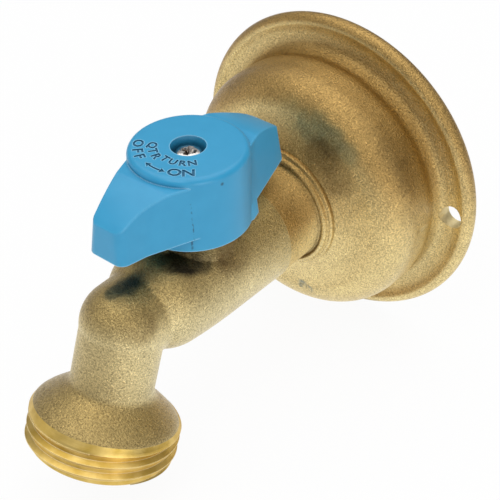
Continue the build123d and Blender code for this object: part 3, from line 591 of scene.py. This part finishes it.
# The cross recess: two bars that taper downwards, at right angles
cross_bars = []
for turn in (20, 110):
    bar = bmesh.new()
    bmesh.ops.create_cone(bar, cap_ends=True, segments=4, radius1=0.0009, radius2=0.0022, depth=0.0013)
    bmesh.ops.rotate(bar, verts=bar.verts, cent=(0, 0, 0), matrix=Matrix.Rotation(math.pi / 4, 3, "Z"))
    bmesh.ops.scale(bar, verts=bar.verts, vec=(1, 0.34, 1))
    bmesh.ops.rotate(bar, verts=bar.verts, cent=(0, 0, 0), matrix=Matrix.Rotation(math.radians(turn), 3, "Z"))
    bmesh.ops.translate(bar, verts=bar.verts, vec=(0, stem_y, screw_high.z - 0.0004))
    cross_bars.append(made_object("cross_bar", bar, zinc_steel))
screw_blank = made_object("screw_blank", screw, zinc_steel)
cross_screw = cut_away("cross_recess_screw", screw_blank, cross_bars, "EXACT")
smooth_but(cross_screw, 30)
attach(cross_screw, "handle_group")
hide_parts("handle_screw")
nodes["screw_lock_washer"].data.materials.clear()
nodes["screw_lock_washer"].data.materials.append(zinc_steel)

# Works inside: the plated ball between its PTFE seats, the stem and its rings, and the cartridge
# that holds the tube. They show through the mouth, the socket and where the handle is open.
# Each finish: name, members, darker and lighter colour, metallic, roughness, size of its patches.

inside_finishes = (
    # Hard-chromed brass: mirror bright, with a faint haze
    ("hard_chromed_brass", ("valve_ball",), "#B9BCBE", "#D9DBDC", 1.0, 0.12, 0.004),
    # Machined PTFE: waxy white, slightly clouded
    ("machined_ptfe", ("upstream_seat", "downstream_seat", "stem_thrust_washer"), "#E4E4DE", "#F4F4F0",
     0.0, 0.45, 0.002),
    # Moulded EPDM rubber: black, with a dusty bloom
    ("moulded_epdm", ("body_joint_o_ring", "stem_o_ring_lower", "stem_o_ring_upper", "tube_o_ring"),
     "#141414", "#262626", 0.0, 0.6, 0.0015),
    # Moulded acetal: satin, off-white for the protector and tan for the collar
    ("moulded_acetal_white", ("o_ring_protector",), "#DAD9D2", "#ECEBE6", 0.0, 0.4, 0.003),
    ("moulded_acetal_tan", ("release_collar",), "#B49A6C", "#C4AC80", 0.0, 0.4, 0.003),
    # Stamped stainless spring steel: grey, faintly clouded
    ("stamped_spring_steel", ("grab_ring",), "#9A9B9C", "#C0C1C2", 1.0, 0.3, 0.001),
    # Turned bar brass: yellow, tarnished in patches
    ("turned_bar_brass", ("stem", "socket_retainer"), "#B9933F", "#DDBB68", 1.0, 0.32, 0.0012),
)
for finish_name, members, dark, light, metal, dullness, patch in inside_finishes:
    inside, inside_shader, inside_place = finish(finish_name, Metallic=metal)
    cloud = node(inside, "ShaderNodeTexNoise", {"Scale": 1 / patch, "Detail": 3.0}, {"Vector": inside_place})
    tone = node(inside, "ShaderNodeMix", {6: linear(dark), 7: linear(light)}, {0: cloud.outputs[0]},
                data_type="RGBA")
    inside.node_tree.links.new(tone.outputs[2], inside_shader.inputs["Base Color"])
    haze = node(inside, "ShaderNodeMapRange", {3: dullness * 0.85, 4: dullness * 1.15}, {0: cloud.outputs[0]})
    inside.node_tree.links.new(haze.outputs[0], inside_shader.inputs["Roughness"])
    for member in members:
        nodes[member].data.materials.clear()
        nodes[member].data.materials.append(inside)

# Studio: a white floor just under the flange and white surroundings, a small key lamp above the
# front, a wide soft one overhead, a faint one low at the left and a stronger one low at the right.
# The camera stands where the photograph was taken from.

floor_drop = 0.0002
floor_white = bpy.data.materials.new("studio_floor_white")
floor_white.use_nodes = True
floor_white.node_tree.nodes.clear()
floor_paint = node(floor_white, "ShaderNodeBsdfDiffuse", {"Color": linear("#F8F8F8")})
floor_glow = node(floor_white, "ShaderNodeEmission", {"Color": (1, 1, 1, 1), "Strength": 1.0})
floor_rays = node(floor_white, "ShaderNodeLightPath")
seen_or_mirrored = node(floor_white, "ShaderNodeMath", operation="MAXIMUM", links={
    0: floor_rays.outputs["Is Camera Ray"], 1: floor_rays.outputs["Is Glossy Ray"]})
seen = node(floor_white, "ShaderNodeMath", {1: 0.94}, {0: seen_or_mirrored.outputs[0]}, operation="MULTIPLY")
floor_mix = node(floor_white, "ShaderNodeMixShader",
                 links={0: seen.outputs[0], 1: floor_paint.outputs[0], 2: floor_glow.outputs[0]})
node(floor_white, "ShaderNodeOutputMaterial", links={0: floor_mix.outputs[0]})
floor_shape = bmesh.new()
bmesh.ops.create_grid(floor_shape, x_segments=1, y_segments=1, size=0.5)
bmesh.ops.translate(floor_shape, verts=floor_shape.verts, vec=(0, 0, cad_bounds[0][2] - floor_drop))
floor = made_object("floor", floor_shape, floor_white)

# Surroundings: white to the camera; to the object bright from below, dim at the horizon and
# brighter again overhead
world = bpy.data.worlds.new("white_studio")
world.use_nodes = True
bpy.context.scene.world = world
world.node_tree.nodes.clear()
sky_rays = node(world, "ShaderNodeLightPath")
sky_place = node(world, "ShaderNodeTexCoord")
sky_way = node(world, "ShaderNodeSeparateXYZ", links={0: sky_place.outputs["Generated"]})
sky_low = node(world, "ShaderNodeMapRange", {1: -0.35, 2: 0.0, 3: 1.0, 4: 0.24}, {0: sky_way.outputs[2]},
               interpolation_type="SMOOTHSTEP")
sky_high = node(world, "ShaderNodeMapRange", {1: 0.3, 2: 0.9, 3: 0.0, 4: 0.45}, {0: sky_way.outputs[2]},
                interpolation_type="SMOOTHSTEP")
sky_tone = node(world, "ShaderNodeMath", links={0: sky_low.outputs[0], 1: sky_high.outputs[0]},
                operation="ADD")
sky_level = node(world, "ShaderNodeMix", {3: 1.0},
                 {0: sky_rays.outputs["Is Camera Ray"], 2: sky_tone.outputs[0]})
sky = node(world, "ShaderNodeBackground", {"Color": (1, 1, 1, 1)}, {"Strength": sky_level.outputs[0]})
node(world, "ShaderNodeOutputWorld", links={0: sky.outputs[0]})

# Lamps, all aimed at the object: name, place, width, power in watts
aim = Vector((0, -0.03, 0))
lamps = (
    ("key", (0.064, -0.364, 0.473), 0.14, 0.3),
    ("overhead", (-0.10, 0.08, 0.80), 1.1, 4.0),
    ("left", (-0.42, -0.42, 0.12), 0.4, 0.28),
    ("right", (0.52, -0.30, 0.05), 0.4, 1.25),
)
for lamp_name, spot, width, power in lamps:
    lamp = bpy.data.lights.new(lamp_name, "AREA")
    lamp.size = width
    lamp.energy = power
    lamp_holder = bpy.data.objects.new(lamp_name, lamp)
    lamp_holder.location = spot
    lamp_holder.rotation_euler = (aim - Vector(spot)).to_track_quat("-Z", "Y").to_euler()
    bpy.context.scene.collection.objects.link(lamp_holder)

lens = bpy.data.cameras.new("camera")
lens.lens = 86.4
lens.sensor_width = 36
camera = bpy.data.objects.new("camera", lens)
camera.matrix_world = Matrix((
    (0.77261, -0.38675, 0.50349, 0.11240),
    (0.63472, 0.48812, -0.59905, -0.16206),
    (-0.01408, 0.78241, 0.62260, 0.13382),
    (0, 0, 0, 1),
))
bpy.context.scene.collection.objects.link(camera)
bpy.context.scene.camera = camera
bpy.context.scene.view_settings.view_transform = "Standard"
